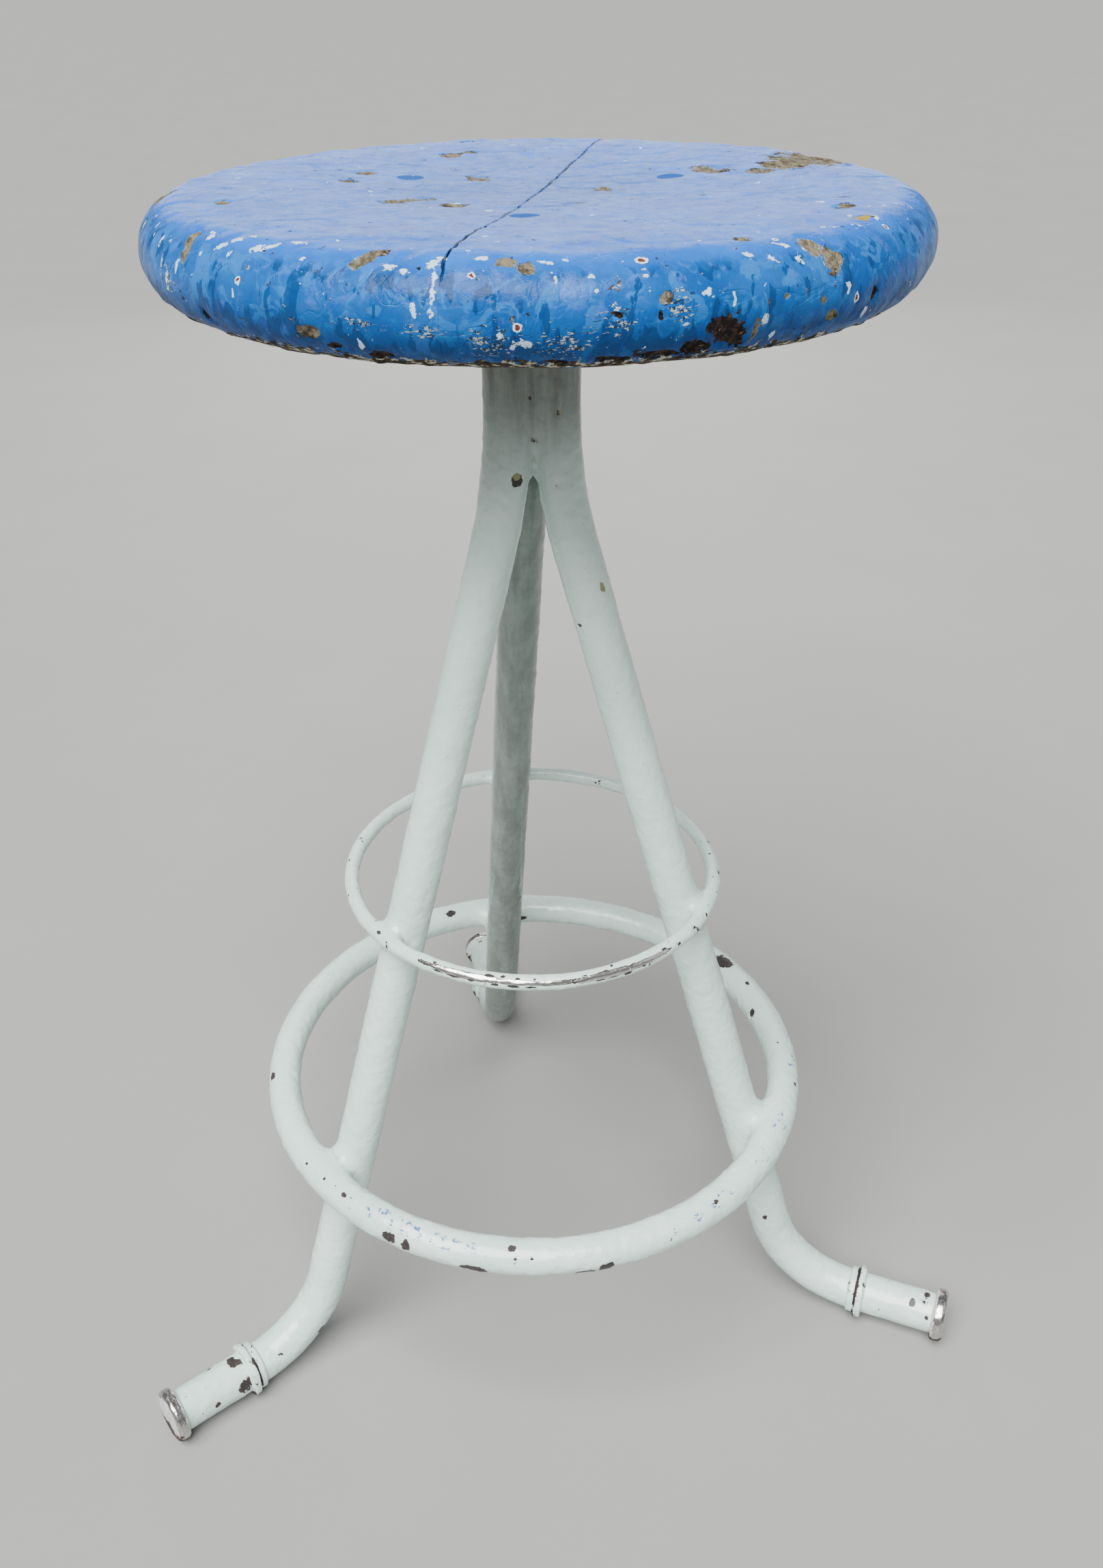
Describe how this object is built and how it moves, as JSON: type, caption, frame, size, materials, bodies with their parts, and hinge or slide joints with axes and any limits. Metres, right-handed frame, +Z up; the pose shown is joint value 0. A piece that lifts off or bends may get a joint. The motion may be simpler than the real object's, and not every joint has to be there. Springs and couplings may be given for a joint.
{
  "type": "bar stool",
  "caption": "Bar stool: round painted wooden seat on splayed bent steel tube legs, with a round footrest and a thinner ring above it.",
  "frame": {"origin": "on the floor, at the bottom centre of the whole stool's bounding box; the legs' axis is 50 mm in front of it, at y = -0.05", "axes": "+Z up, +Y along the rear leg's foot, +X to the right of someone looking along +Y"},
  "size_m": [0.516, 0.48, 0.704],
  "materials": {
    "seat_paint": "many coats of glossy blue paint on wood, chipped and flecked",
    "frame_paint": "thick lumpy pale grey-green gloss paint with small chips",
    "ring_paint": "pale paint worn through to bright steel along the front",
    "foot_steel": "bare rubbed steel with brown rust and flakes of pale paint",
    "fastener_steel": "dull aged steel"
  },
  "bodies": {
    "root": {"seat_board_left": "seat_paint", "seat_board_right": "seat_paint", "seat_plate": "frame_paint", "seat_bolt_1": "fastener_steel", "seat_bolt_2": "fastener_steel", "seat_bolt_3": "fastener_steel", "seat_washer_1": "fastener_steel", "seat_washer_2": "fastener_steel", "seat_washer_3": "fastener_steel", "seat_nut_1": "fastener_steel", "seat_nut_2": "fastener_steel", "seat_nut_3": "fastener_steel", "leg_rear": "frame_paint", "leg_left": "frame_paint", "leg_right": "frame_paint", "foot_collar_rear": "frame_paint", "foot_collar_left": "frame_paint", "foot_collar_right": "frame_paint", "foot_cap_rear": "foot_steel", "foot_cap_left": "foot_steel", "foot_cap_right": "foot_steel", "footrest_ring": "frame_paint", "upper_ring": "ring_paint"}
  },
  "joints": []
}
